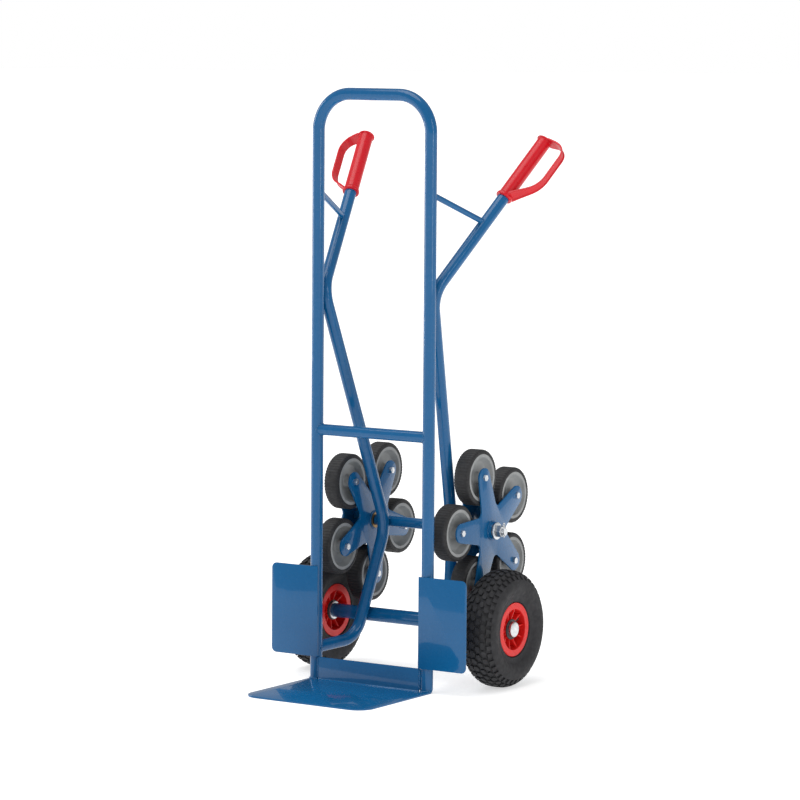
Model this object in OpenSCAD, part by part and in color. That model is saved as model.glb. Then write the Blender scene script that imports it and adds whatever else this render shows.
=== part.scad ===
// Stair-climbing hand truck: a welded tube frame with a toe plate, two air-filled wheels,
// and two turning star carriers that each hold five small wheels.
// Millimetres. +Z is up, the load side faces -Y, and +X is the truck's left-hand side seen from the load.
// The origin is on the floor, in the middle of the heel line where the toe plate folds up.

/* [Frame] */
// Width over the outsides of the two frame legs
frame_w = 320; // [270:1:400]
// Height of the top of the frame above the floor
frame_h = 1315; // [1050:5:1600]
// Outside diameter of the frame tube and of the two side tubes
tube_d = 27; // [22:0.5:33]
// Wall thickness of every hollow tube
tube_wall = 2; // [1.5:0.1:3]
// Centre-line radius of the two top corners
corner_r = 82; // [55:1:110]
// Height of the upper crossbar's centre
crossbar_z = 561; // [400:1:760]
// Outside diameter of the upper crossbar
crossbar_d = 25; // [16:0.5:26.5]

/* [Toe plate and guards] */
// Thickness of the toe plate
toe_t = 4; // [3:0.5:6]
// Depth of the toe plate from its front edge to the heel line
toe_depth = 255; // [180:1:340]
// Radius of the two front corners of the toe plate
toe_corner_r = 40; // [10:1:80]
// Inside radius of the fold at the heel
fold_r = 3; // [2:0.5:6]
// Height of the folded-up rear lip
lip_h = 54; // [35:1:90]
// Distance that the lip's front face sits behind the front of the legs
lip_setback = 1.5; // [0:0.1:4]
// Slope of the cut at the back of each leg's foot, in degrees
foot_cut = 45; // [30:1:60]
// Thickness of the two wheel guards
guard_t = 3; // [2:0.5:5]
// Width of a wheel guard
guard_w = 123; // [90:1:150]
// Height of a wheel guard
guard_h = 202; // [120:1:260]
// Height of a wheel guard's lower edge
guard_z = 55; // [30:1:90]
// Corner radius of a wheel guard
guard_corner_r = 12; // [4:1:30]

/* [Side tubes] */
// How far the handle bend sits inside the leg's centre
bend_in = 3.5; // [0:0.5:8]
// Height of the handle bend's corner point
bend_z = 871; // [780:1:960]
// Centre-line radius of the handle bend
bend_r = 66; // [50:1:90]
// Sideways reach of the handle, from the bend to the end of its tube
handle_out = 94; // [60:1:130]
// Backward reach of the handle
handle_back = 306; // [240:1:360]
// Rise of the handle
handle_rise = 325; // [260:1:380]
// Distance of the knee bend's corner point from the middle of the truck
knee_x = 89; // [75:1:96]
// Height of the knee bend's corner point
knee_z = 331; // [300:1:360]
// Centre-line radius of the knee bend
knee_r = 119; // [80:1:150]
// Distance of the foot bend's corner point from the middle of the truck
heel_x = 122.6; // [110:0.1:130]
// Height of the foot bend's corner point
heel_z = 81; // [74:1:90]
// Centre-line radius of the foot bend
heel_r = 58; // [45:1:64]
// Height at which the foot of a side tube meets the back of the leg
heel_end_z = 74; // [60:1:90]
// Diameter of the two stay rods
strut_d = 13; // [10:0.5:16]
// Height at which a stay rod meets the leg
strut_z = 1090; // [1000:1:1200]
// Distance from the handle bend's corner point to the stay rod, along the handle
strut_reach = 212; // [150:1:260]
// How much a side tube swells in its bends, measured along a radius
bend_swell = 0.2; // [0.2:0.05:0.5]
// Depth that crossing tubes are pressed into each other where they are welded
weld_bite = 0.3; // [0.1:0.05:0.4]

/* [Grips] */
// Length of a grip
grip_l = 174; // [130:1:200]
// Outside diameter of a grip
grip_d = 32.4; // [30:0.1:38]
// Diameter of the collars at both ends of a grip
grip_collar_d = 38; // [35:0.5:46]
// Length of a grip's lower collar
grip_collar_l = 6; // [3:0.5:12]
// Thickness of the closed top of a grip
grip_top_t = 4; // [2:0.5:8]
// Distance from the grip's centre line to the middle of its guard strap
guard_reach = 62; // [45:1:80]
// Thickness of the guard strap
strap_t = 4.5; // [3:0.5:8]
// Width of the guard strap
strap_w = 21; // [14:1:30]
// Turn of the guard about the grip's own centre line, in degrees
grip_roll = 9; // [-20:1:40]

/* [Main wheels] */
// Outside diameter of an air-filled tyre
wheel_d = 260; // [220:1:300]
// Width of an air-filled tyre
wheel_w = 85; // [60:1:100]
// Distance from the middle of the truck to the middle of a main wheel
wheel_x = 237; // [232:1:260]
// Distance of the main axle behind the heel line
axle_y = 180; // [160:1:200]
// Diameter of the solid main axle
axle_d = 20; // [16:1:25]
// Outside diameter of the blue tube round the main axle
axle_tube_d = 32; // [28:0.5:36]
// Outside diameter of a rim's flanges
rim_d = 119; // [100:1:130]
// Width over a rim's flanges
rim_w = 63; // [50:1:70]
// Number of ribs on each side of a rim
rib_count = 10; // [6:1:14]
// Diameter of a rim's hub
hub_d = 44; // [38:1:50]
// Length of a rim's hub
hub_l = 44; // [36:1:50]
// Outside diameter of the bushes in a rim's hub
bush_d = 30; // [28:1:34]
// Diameter of the zinc cap on each end of the main axle
cap_d = 34; // [30:1:40]
// Angle of the valve from the rear towards the top, in degrees
valve_turn = 24; // [0:1:360]

/* [Star carriers] */
// Distance of the star axle behind the heel line
star_y = 224; // [215:1:230]
// Height of the star axle
star_z = 338; // [330:1:360]
// Distance from the middle of the truck to the middle of a star carrier
star_x = 155.8; // [154:0.1:160]
// Distance from the star axle to each small wheel's axle
arm_l = 124.4; // [118:0.1:126]
// Thickness of a star plate
star_t = 4; // [3:0.5:5]
// Clear gap between the two plates of a star carrier
star_gap = 42; // [39:0.5:44]
// Radius of the rounded end of an arm
arm_end_r = 22; // [16:0.5:26]
// Radius of the rounded valley between two arms
valley_r = 13; // [8:0.5:16]
// Distance from the star axle to the centre of a valley's arc
valley_reach = 72; // [66:1:80]
// Diameter of the solid star axle
star_axle_d = 16; // [12:1:20]
// Outside diameter of the blue tube round the star axle
star_tube_d = 24; // [22:0.5:28]
// Outside diameter of a star carrier's hub tube
star_hub_d = 38; // [34:1:44]
// Outside diameter of the bushes in a star hub
star_bush_d = 28; // [24:1:30]
// Turn of the star carrier on the +X side, from the rear towards the top, in degrees
star_turn_right = 33; // [0:1:72]
// Turn of the star carrier on the -X side, in degrees
star_turn_left = 59; // [0:1:72]

/* [Small wheels] */
// Outside diameter of a small wheel
small_d = 125; // [100:1:128]
// Width of a small wheel's tread
small_w = 37; // [28:1:38]
// Thickness of the rubber tread, measured along a radius
tread_t = 10; // [6:0.5:14]
// Thickness of a small rim's outer ring
ring_t = 7; // [4:0.5:12]
// Outside diameter of the steel sleeve in a small wheel
sleeve_d = 13; // [12:0.5:16]
// Diameter of the bolt through a small wheel
bolt_d = 8; // [6:1:10]

/* [Fits] */
// Radial clearance of every part that turns on a shaft
running_gap = 0.05; // [0.02:0.01:0.09]
// Radial clearance of a shaft that is fixed in a tube, washer or plate
fixed_gap = 0.1; // [0.05:0.05:0.3]
// Side clearance beside every turning hub
side_gap = 0.3; // [0.3:0.1:1]

/* [Hidden] */
$fn = 64;

// Colours
blue = [0.15, 0.38, 0.64];
red = [0.84, 0.10, 0.16];
rubber = [0.13, 0.13, 0.14];
grey_plastic = [0.62, 0.63, 0.62];
zinc = [0.78, 0.80, 0.82];
black_plastic = [0.07, 0.07, 0.08];
bronze = [0.66, 0.50, 0.28];

// Extra length of a cutting shape past the face that it cuts
past = 1;

// How far a side tube's straights reach into its bends
bend_lap = 1;

// Frame places
tube_r = tube_d / 2;
leg_x = (frame_w - tube_d) / 2;
tube_y = fold_r - lip_setback + tube_r;
top_z = frame_h - tube_r;

// Main axle and wheel places, measured outwards from the middle of the truck
axle_z = wheel_d / 2;
bush_flange_t = 3;
bush_flange_d = hub_d + 1;
bush_l = hub_l / 2 - 2;
hub_half = hub_l / 2 + bush_flange_t;
washer_t = 3;
axle_tube_end = wheel_x - hub_half - side_gap - washer_t - side_gap;
cap_t = 8;
cap_wall = 2;
cap_start = wheel_x + hub_half + side_gap;
axle_end = cap_start + cap_t - cap_wall - side_gap;

// Star places
bar_r = star_tube_d / 2;
plate_out = star_gap / 2 + star_t;
star_flange_t = 2;
star_boss = 9;
star_hub_out = plate_out + star_boss;
star_hub_in = plate_out + star_flange_t + 0.5;
star_tube_end = star_x - star_hub_in - star_flange_t - side_gap;
star_washer_start = star_x + star_hub_out + star_flange_t + side_gap;
star_nut_start = star_washer_start + washer_t + side_gap;
nut_h = 13;
crown_h = 6;
star_axle_end = star_nut_start + nut_h + crown_h + 2;
pin_d = 3.5;
pin_x = star_nut_start + nut_h + crown_h / 2;

// Vector helpers
function unit(v) = v / norm(v);
function arc(centre, r, from, to, steps = 8) =
    [for (i = [0 : steps]) centre + r * [cos(from + (to - from) * i / steps), sin(from + (to - from) * i / steps)]];

// The side tube touches the leg, the front of the star axle tube and the front of the main axle tube.
// The middle of its handle bend rests on the leg, and the middle of its knee on the star axle tube.
axle_touch = tube_r + axle_tube_d / 2 - weld_bite;
star_touch = tube_r + bend_swell + bar_r - weld_bite;
leg_touch = tube_d + bend_swell - weld_bite;
// Distance and direction from a bend's corner point to the middle of its arc
function arc_shift(a, b, c, r) =
    let (
        into = unit(b - a),
        out = unit(c - b)
    )
    unit(out - into) * r * (1 / cos(acos(into * out) / 2) - 1);

// The handle bend rests against the back of the leg
handle_reach = [handle_out, handle_back, handle_rise];
knee_guess = [knee_x, star_y - star_touch + knee_r / 22, knee_z];
bend_guess = [leg_x - bend_in, tube_y + tube_d - bend_r / 6, bend_z];
bend_shift = arc_shift(bend_guess + handle_reach, bend_guess, knee_guess, bend_r);
bend_side = bend_in - bend_shift.x;
bend_behind = sqrt(leg_touch * leg_touch - bend_side * bend_side);
handle_bend = [leg_x - bend_in, tube_y + bend_behind - bend_shift.y, bend_z];
handle_end = handle_bend + handle_reach;

// Corner point of the foot bend that puts the stretch below a knee against the main axle tube
function heel_below(k) =
    let (
        way = [axle_y - k.y, axle_z - k.z],
        slope = atan2(way.y, way.x) - asin(axle_touch / norm(way))
    )
    [heel_x, k.y + (heel_z - k.z) * cos(slope) / sin(slope), heel_z];

knee_shift = arc_shift(handle_bend, knee_guess, heel_below(knee_guess), knee_r);
knee = [knee_x, star_y - star_touch - knee_shift.y, knee_z];
heel = heel_below(knee);
leg_point = [leg_x, tube_y, heel_end_z];
heel_end = leg_point + unit(heel - leg_point) * tube_r * 0.4;
handle_way = unit(handle_end - handle_bend);

// Turns a shape's +Z axis onto the line from a to b, with its origin at a
module along(a, b) {
    way = unit(b - a);
    translate(a) rotate([0, acos(way.z), atan2(way.y, way.x)]) children();
}

// Turns a lathe shape's axis from +Z to +X; its own X and Y become Y and Z
module on_x() {
    rotate([90, 0, 90]) children();
}

// A straight solid bar from a to b
module bar(a, b, r) {
    along(a, b) cylinder(h = norm(b - a), r = r);
}

// Length that a bend takes from each of the straight stretches that it joins
function bend_take(a, b, c, r) = r * tan(acos(unit(b - a) * unit(c - b)) / 2);

// One bend, as part of a ring of a flat section, at corner b between the lines a-b and b-c
module bend(a, b, c, bend_radius) {
    into = unit(b - a);
    out = unit(c - b);
    turn = acos(into * out);
    inward = unit(out - into * (into * out));
    start = b - into * bend_radius * tan(turn / 2);
    centre = start + inward * bend_radius;
    side = cross(-inward, into);
    multmatrix([
        [-inward.x, into.x, side.x, centre.x],
        [-inward.y, into.y, side.y, centre.y],
        [-inward.z, into.z, side.z, centre.z]
    ]) rotate_extrude(angle = turn) translate([bend_radius, 0]) children();
}

// A solid bar along corner points, with one bend radius for each inner corner.
// With a swell, the bends are that much fuller than the straights, which end inside them.
module bent_bar(points, radii, r, swell) {
    last = len(points) - 1;
    lap = swell > 0 ? bend_lap : 0;
    for (i = [0 : last - 1]) {
        way = unit(points[i + 1] - points[i]);
        from = i == 0 ? 0 : bend_take(points[i - 1], points[i], points[i + 1], radii[i - 1]) - lap;
        to = i == last - 1 ? 0 : bend_take(points[i], points[i + 1], points[i + 2], radii[i]) - lap;
        bar(points[i] + way * from, points[i + 1] - way * to, r);
    }
    for (i = [1 : last - 1]) bend(points[i - 1], points[i], points[i + 1], radii[i - 1]) circle(r = r + swell);
}

// The same points with both ends moved outwards, for the bore of a tube
function longer(points) =
    let (last = len(points) - 1)
    [for (i = [0 : last])
        i == 0 ? points[0] - unit(points[1] - points[0]) * past
        : i == last ? points[last] + unit(points[last] - points[last - 1]) * past
        : points[i]];

// A hollow tube along corner points
module bent_tube(points, radii, d, swell = 0) {
    difference() {
        bent_bar(points, radii, d / 2, swell);
        bent_bar(longer(points), radii, d / 2 - tube_wall, swell);
    }
}

// The outside of one frame leg as a solid, for the joints that are cut to fit round it
module leg_outside(side) {
    translate([side * leg_x, tube_y, 0]) cylinder(h = top_z - corner_r, r = tube_r);
}

// Frame: one bent tube, drawn as two legs, two bends and a top bar that meet end to end.
// A leg is open at its foot, which is cut back at its rear.
module frame_leg(side) {
    foot = [side * leg_x, tube_y, toe_t];
    end = [side * leg_x, tube_y, top_z - corner_r];
    color(blue) difference() {
        bar(foot, end, tube_r);
        bar(foot - [0, 0, past], end + [0, 0, past], tube_r - tube_wall);
        translate([0, tube_y, toe_t]) rotate([foot_cut, 0, 0]) translate([-frame_w, 0, -frame_w])
            cube([2 * frame_w, frame_w, frame_w]);
    }
}

module frame_bend(side) {
    color(blue) bend([side * leg_x, tube_y, 0], [side * leg_x, tube_y, top_z], [0, tube_y, top_z], corner_r)
        difference() {
            circle(r = tube_r);
            circle(r = tube_r - tube_wall);
        }
}

module frame_top_bar() {
    half = leg_x - corner_r;
    color(blue) difference() {
        bar([-half, tube_y, top_z], [half, tube_y, top_z], tube_r);
        bar([-half - past, tube_y, top_z], [half + past, tube_y, top_z], tube_r - tube_wall);
    }
}

module upper_crossbar() {
    color(blue) difference() {
        bar([-leg_x, tube_y, crossbar_z], [leg_x, tube_y, crossbar_z], crossbar_d / 2);
        bar([-leg_x, tube_y, crossbar_z], [leg_x, tube_y, crossbar_z], crossbar_d / 2 - tube_wall);
        leg_outside(-1);
        leg_outside(1);
    }
}

// Side tube for the +X side: handle, knee and foot in one bent tube, coped to the leg at its foot
module side_tube() {
    color(blue) difference() {
        bent_tube([handle_end, handle_bend, knee, heel, heel_end], [bend_r, knee_r, heel_r], tube_d, bend_swell);
        leg_outside(1);
    }
}

module strut() {
    foot = [leg_x, tube_y, strut_z];
    tip = handle_bend + handle_way * strut_reach;
    color(blue) difference() {
        bar(foot, tip, strut_d / 2);
        leg_outside(1);
        bar(handle_bend, handle_end, tube_r);
    }
}

// Outline of the toe plate's flat part, with two lugs that reach under the legs
module toe_outline() {
    half = frame_w / 2;
    slit = leg_x - tube_r + 1.5;
    lug = tube_y - 2;
    polygon(concat(
        [[-slit, 0], [-slit, lug], [-half, lug]],
        arc([toe_corner_r - half, toe_corner_r - toe_depth], toe_corner_r, 180, 270),
        arc([half - toe_corner_r, toe_corner_r - toe_depth], toe_corner_r, 270, 360),
        [[half, lug], [slit, lug], [slit, 0]]
    ));
}

// Section of the fold and lip, drawn with Y to the right and Z up
module lip_section() {
    polygon(concat(
        [[-past, 0]],
        arc([0, fold_r + toe_t], fold_r + toe_t, 270, 360),
        [[fold_r + toe_t, lip_h], [fold_r, lip_h]],
        arc([0, fold_r + toe_t], fold_r, 360, 270),
        [[-past, toe_t]]
    ));
}

module toe_plate() {
    lip_half = leg_x - tube_r - side_gap;
    color(blue) union() {
        linear_extrude(height = toe_t) toe_outline();
        translate([-lip_half, 0, 0]) on_x() linear_extrude(height = 2 * lip_half) lip_section();
    }
}

// Wheel guard for the +X side: a flat plate welded to the front of the leg
module wheel_guard() {
    inner = leg_x - tube_r;
    corner = guard_corner_r;
    color(blue) translate([inner, tube_y - tube_r, guard_z]) rotate([90, 0, 0])
        linear_extrude(height = guard_t) polygon(concat(
            [[0, 0]],
            arc([guard_w - corner, corner], corner, 270, 360),
            arc([guard_w - corner, guard_h - corner], corner, 0, 90),
            [[0, guard_h]]
        ));
}

// Puts a shape on the handle: its +Z runs up the handle and its +X points towards the guard strap
module on_handle(from_end) {
    up = handle_way;
    level = unit([1, 0, 0] - up * up.x);
    out = level * cos(grip_roll) + cross(up, level) * sin(grip_roll);
    side = cross(up, out);
    base = handle_end - up * from_end;
    multmatrix([
        [out.x, side.x, up.x, base.x],
        [out.y, side.y, up.y, base.y],
        [out.z, side.z, up.z, base.z]
    ]) children();
}

// Corner points of the guard strap's middle line: distance from the grip's axis, then height
strap_ends = grip_d / 2 - strap_t;
strap_points = [
    [strap_ends, grip_collar_l + strap_t / 2], [guard_reach, grip_l * 0.32], [guard_reach, grip_l - 12],
    [guard_reach * 0.72, grip_l - strap_t / 2], [strap_ends, grip_l - strap_t / 2]
];
strap_radii = [38, 16, 10];

// One rounded corner of a flat strip, on one side of its middle line
function strip_corner(a, b, c, r, off, steps = 7) =
    let (
        into = unit(b - a),
        out = unit(c - b),
        hand = sign(into.x * out.y - into.y * out.x),
        left = [-into.y, into.x] * hand,
        turn = acos(into * out),
        centre = b - into * r * tan(turn / 2) + left * r,
        start = atan2(-left.y, -left.x)
    )
    arc(centre, r - off * hand, start, start + hand * turn, steps);

// One side of a flat strip
function strip_side(points, radii, off) =
    let (
        last = len(points) - 1,
        first_way = unit(points[1] - points[0]),
        last_way = unit(points[last] - points[last - 1])
    )
    concat(
        [points[0] + off * [-first_way.y, first_way.x]],
        [for (i = [1 : last - 1])
            for (p = strip_corner(points[i - 1], points[i], points[i + 1], radii[i - 1], off)) p],
        [points[last] + off * [-last_way.y, last_way.x]]
    );

// Guard strap: a flat bar bent from the foot of the grip, past the knuckles, to its top.
// It is wider at both ends than in the middle.
module guard_strap() {
    outer = strip_side(strap_points, strap_radii, -strap_t / 2);
    inner = strip_side(strap_points, strap_radii, strap_t / 2);
    end_half = grip_d / 2;
    half = strap_w / 2;
    flare = 40;
    intersection() {
        translate([0, grip_d, 0]) rotate([90, 0, 0]) linear_extrude(height = 2 * grip_d)
            polygon(concat(outer, [for (i = [len(inner) - 1 : -1 : 0]) inner[i]]));
        translate([0, 0, -past]) rotate([90, 0, 90]) linear_extrude(height = 2 * guard_reach) polygon(concat(
            [[end_half, 0]],
            arc([half + flare, grip_l * 0.4], flare, 225, 180),
            arc([half + flare, grip_l * 0.7], flare, 180, 135),
            [[end_half, grip_l + 2 * past], [-end_half, grip_l + 2 * past]],
            arc([-half - flare, grip_l * 0.7], flare, 45, 0),
            arc([-half - flare, grip_l * 0.4], flare, 0, -45),
            [[-end_half, 0]]
        ));
    }
}

module grip() {
    collar_slope = 4;
    color(red) on_handle(grip_l - grip_top_t) difference() {
        union() {
            cylinder(h = grip_l, r = grip_d / 2);
            cylinder(h = grip_collar_l, r = grip_collar_d / 2);
            translate([0, 0, grip_collar_l])
                cylinder(h = collar_slope, r1 = grip_collar_d / 2, r2 = grip_d / 2);
            translate([0, 0, grip_l - grip_top_t]) cylinder(h = grip_top_t, r = grip_collar_d / 2);
            guard_strap();
        }
        translate([0, 0, -past]) cylinder(h = grip_l - grip_top_t + past, r = tube_r + fixed_gap);
    }
}

// A tube along X through the middle of the truck
module cross_tube(half_l, outside_r, bore_r) {
    translate([-half_l, 0, 0]) on_x() difference() {
        cylinder(h = 2 * half_l, r = outside_r);
        translate([0, 0, -past]) cylinder(h = 2 * (half_l + past), r = bore_r);
    }
}

// A ring along X, from a given distance out from the middle of the truck, on both sides
module ring_pair(start, thickness, outside_r, bore_r) {
    for (side = [-1, 1]) translate([side * (start + thickness / 2) - thickness / 2, 0, 0]) on_x() difference() {
        cylinder(h = thickness, r = outside_r);
        translate([0, 0, -past]) cylinder(h = thickness + 2 * past, r = bore_r);
    }
}

module at_main_axle() {
    translate([0, axle_y, axle_z]) children();
}

module at_star_axle() {
    translate([0, star_y, star_z]) children();
}

module main_axle_tube() {
    color(blue) at_main_axle() cross_tube(axle_tube_end, axle_tube_d / 2, axle_d / 2 + fixed_gap);
}

module main_axle_rod() {
    color(zinc) at_main_axle() translate([-axle_end, 0, 0]) on_x() cylinder(h = 2 * axle_end, r = axle_d / 2);
}

module axle_washers() {
    color(zinc) at_main_axle()
        ring_pair(axle_tube_end + side_gap, washer_t, axle_d, axle_d / 2 + fixed_gap);
}

// Closed push-on caps with a rounded edge on the ends of the main axle
module axle_caps() {
    edge = 2;
    r = cap_d / 2;
    section = concat(
        [[axle_d / 2 + fixed_gap, 0], [r, 0]],
        arc([r - edge, cap_t - edge], edge, 0, 90),
        [[0, cap_t], [0, cap_t - cap_wall], [axle_d / 2 + fixed_gap, cap_t - cap_wall]]
    );
    color(zinc) at_main_axle() for (side = [0, 1]) mirror([side, 0, 0])
        translate([cap_start, 0, 0]) on_x() rotate_extrude() polygon(section);
}

module star_axle_tube() {
    color(blue) at_star_axle() cross_tube(star_tube_end, bar_r, star_axle_d / 2 + fixed_gap);
}

// Solid star axle with a cross hole at each end for the split pin
module star_axle_rod() {
    color(zinc) at_star_axle() difference() {
        translate([-star_axle_end, 0, 0]) on_x() cylinder(h = 2 * star_axle_end, r = star_axle_d / 2);
        for (side = [-1, 1]) translate([side * pin_x, 0, -star_axle_d])
            cylinder(h = 2 * star_axle_d, r = pin_d / 2 + fixed_gap);
    }
}

module star_washers() {
    color(zinc) at_star_axle()
        ring_pair(star_washer_start, washer_t, star_hub_d / 2, star_axle_d / 2 + fixed_gap);
}

// Castle nuts: a hexagon with a slotted crown
module star_nuts() {
    hex_r = star_axle_d * 0.75 / cos(30);
    crown_r = star_axle_d * 0.68;
    slot_w = pin_d + 1;
    color(zinc) at_star_axle() for (side = [0, 1]) mirror([side, 0, 0])
        translate([star_nut_start, 0, 0]) on_x() difference() {
            union() {
                cylinder(h = nut_h, r = hex_r, $fn = 6);
                cylinder(h = nut_h + crown_h, r = crown_r);
            }
            translate([0, 0, -past]) cylinder(h = nut_h + crown_h + 2 * past, r = star_axle_d / 2 + fixed_gap);
            for (turn = [30, 90, 150]) rotate([0, 0, turn])
                translate([-2 * crown_r, -slot_w / 2, nut_h + 0.5]) cube([4 * crown_r, slot_w, crown_h + past]);
        }
}

// Split pins through the crown of the nuts, each with an eye on top and two bent tails below
module split_pins() {
    eye_r = 3.5;
    top = star_axle_d * 0.75 + 1;
    color(zinc) at_star_axle() for (side = [-1, 1]) translate([side * pin_x, 0, 0]) {
        translate([0, 0, -top]) cylinder(h = 2 * top, r = pin_d / 2);
        translate([0, 0, top + eye_r - 1]) on_x() rotate_extrude() translate([eye_r, 0]) circle(r = pin_d / 3);
    }
}

// Tyre: section drawn with the radius to the right and the axle's direction up.
// The rim's barrel and flanges set the size of the beads.
bead_r = rim_d / 2 - 8;
barrel_r = bead_r - 1.5;
bead_half = rim_w / 2 - 4.2;
wall_r = 34;
wall_c = [wheel_d / 2 - wall_r, wheel_w / 2 - wall_r];
air_r = 27;
air_c = [wheel_d / 2 - 39, 7.5];

module tyre_section() {
    half_out = concat(
        [[bead_r, bead_half], [rim_d / 2 + 0.5, bead_half], [rim_d / 2 + 3, rim_w / 2 + 1.5]],
        arc(wall_c, wall_r, 130, 0, 14)
    );
    half_in = concat(
        arc(air_c, air_r, 0, 150, 12),
        [[rim_d / 2 + 1, bead_half - 7], [bead_r, bead_half - 7]]
    );
    polygon(concat(
        half_out,
        [for (i = [len(half_out) - 1 : -1 : 0]) [half_out[i].x, -half_out[i].y]],
        [for (i = [len(half_in) - 1 : -1 : 0]) [half_in[i].x, -half_in[i].y]],
        half_in
    ));
}

module tyre() {
    color(rubber) at_main_axle() translate([wheel_x, 0, 0]) on_x() rotate_extrude() tyre_section();
}

// Inner tube: an oval ring of thin rubber that fills the tyre
module inner_tube() {
    wall = 2;
    skin = 0.4;
    color(black_plastic) at_main_axle() translate([wheel_x, 0, 0]) on_x() rotate_extrude() difference() {
        polygon(concat(arc(air_c, air_r - skin, -0, 180, 16), arc([air_c.x, -air_c.y], air_r - skin, 180, 360, 16)));
        polygon(concat(
            arc(air_c, air_r - skin - wall, 0, 180, 16),
            arc([air_c.x, -air_c.y], air_r - skin - wall, 180, 360, 16)
        ));
    }
}

// Rim: barrel with two flanges, a middle web, a hub, and ribs on both sides
module rim() {
    flange_t = 4;
    barrel_t = 5;
    web_t = 5;
    rib_t = 3;
    rib_half = rim_w / 2 - 5;
    inner_r = barrel_r - barrel_t;
    color(red) at_main_axle() translate([wheel_x, 0, 0]) on_x() difference() {
        union() {
            rotate_extrude() polygon([
                [inner_r, -rim_w / 2], [rim_d / 2, -rim_w / 2], [rim_d / 2, flange_t - rim_w / 2],
                [barrel_r, flange_t - rim_w / 2], [barrel_r, rim_w / 2 - flange_t],
                [rim_d / 2, rim_w / 2 - flange_t], [rim_d / 2, rim_w / 2], [inner_r, rim_w / 2]
            ]);
            translate([0, 0, -web_t / 2]) cylinder(h = web_t, r = inner_r + 1);
            translate([0, 0, -hub_l / 2]) cylinder(h = hub_l, r = hub_d / 2);
            for (i = [0 : rib_count - 1]) rotate([0, 0, (i + 0.5) * 360 / rib_count + valve_turn])
                translate([hub_d / 2 - 2, -rib_t / 2, -rib_half]) cube([inner_r - hub_d / 2 + 3, rib_t, 2 * rib_half]);
        }
        translate([0, 0, -rim_w]) cylinder(h = 2 * rim_w, r = bush_d / 2);
        for (side = [0, 1]) mirror([0, 0, side]) translate([0, 0, hub_l / 2])
            cylinder(h = rim_w, r = bush_flange_d / 2 + side_gap);
        rotate([0, 0, valve_turn]) translate([hub_d / 2 + 4, 0, valve_z]) rotate([0, 90, 0])
            cylinder(h = rim_d, r = valve_r + fixed_gap);
    }
}

// Valve stem through the barrel, with a screwed cap
valve_z = 13;
valve_r = 4;

module valve() {
    stem_top = hub_d / 2 + 8;
    cap_l = 9;
    color(black_plastic) at_main_axle() translate([wheel_x, 0, 0]) on_x() rotate([0, 0, valve_turn])
        translate([0, 0, valve_z]) rotate([0, 90, 0]) {
            translate([0, 0, stem_top]) cylinder(h = barrel_r + 0.5 - stem_top, r = valve_r);
            translate([0, 0, stem_top - cap_l + 2]) cylinder(h = cap_l, r = valve_r - 0.5);
        }
}

module rim_bushes() {
    color(black_plastic) at_main_axle() translate([wheel_x, 0, 0]) on_x() for (side = [0, 1]) mirror([0, 0, side])
        difference() {
            union() {
                translate([0, 0, hub_l / 2 - bush_l]) cylinder(h = bush_l, r = bush_d / 2);
                translate([0, 0, hub_l / 2]) cylinder(h = bush_flange_t, r = bush_flange_d / 2);
            }
            cylinder(h = hub_l, r = axle_d / 2 + running_gap);
        }
}

// Star plates: the arms and valleys are arcs joined by the straight lines that touch them both
half_pitch = 36;
valley_c = valley_reach * [cos(half_pitch), sin(half_pitch)];
to_valley = valley_c - [arm_l, 0];
edge_turn = atan2(to_valley.y, to_valley.x) - acos((arm_end_r + valley_r) / norm(to_valley));

module star_outline() {
    points = [for (k = [0 : 4])
        for (p = concat(
            arc([arm_l, 0], arm_end_r, -edge_turn, edge_turn, 14),
            arc(valley_c, valley_r, edge_turn + 180, 2 * half_pitch - edge_turn + 180, 10)
        ))
            [p.x * cos(72 * k) - p.y * sin(72 * k), p.x * sin(72 * k) + p.y * cos(72 * k)]];
    polygon(points);
}

// Puts a lathe shape on the star axle, turned so that its first arm is at the given angle
module on_star(turn) {
    at_star_axle() translate([star_x, 0, 0]) on_x() rotate([0, 0, turn]) children();
}

module at_arms() {
    for (k = [0 : 4]) rotate([0, 0, 72 * k]) translate([arm_l, 0, 0]) children();
}

module star_plates(turn) {
    color(blue) on_star(turn) for (side = [0, 1]) mirror([0, 0, side])
        translate([0, 0, star_gap / 2]) difference() {
            linear_extrude(height = star_t) star_outline();
            translate([0, 0, -past]) cylinder(h = star_t + 2 * past, r = star_hub_d / 2);
            at_arms() translate([0, 0, -past]) cylinder(h = star_t + 2 * past, r = bolt_d / 2 + fixed_gap);
        }
}

module star_hub(turn) {
    color(blue) on_star(turn) difference() {
        translate([0, 0, -star_hub_in]) cylinder(h = star_hub_in + star_hub_out, r = star_hub_d / 2);
        translate([0, 0, -2 * star_hub_in]) cylinder(h = 4 * star_hub_out, r = star_bush_d / 2);
    }
}

module star_bushes(turn) {
    bush = 22;
    color(bronze) on_star(turn) difference() {
        union() {
            translate([0, 0, star_hub_out - bush]) cylinder(h = bush, r = star_bush_d / 2);
            translate([0, 0, star_hub_out]) cylinder(h = star_flange_t, r = star_hub_d / 2 - 1);
            translate([0, 0, -star_hub_in]) cylinder(h = bush, r = star_bush_d / 2);
            translate([0, 0, -star_hub_in - star_flange_t]) cylinder(h = star_flange_t, r = star_hub_d / 2 - 1);
        }
        translate([0, 0, -2 * star_hub_in]) cylinder(h = 4 * star_hub_out, r = star_axle_d / 2 + running_gap);
    }
}

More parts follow.
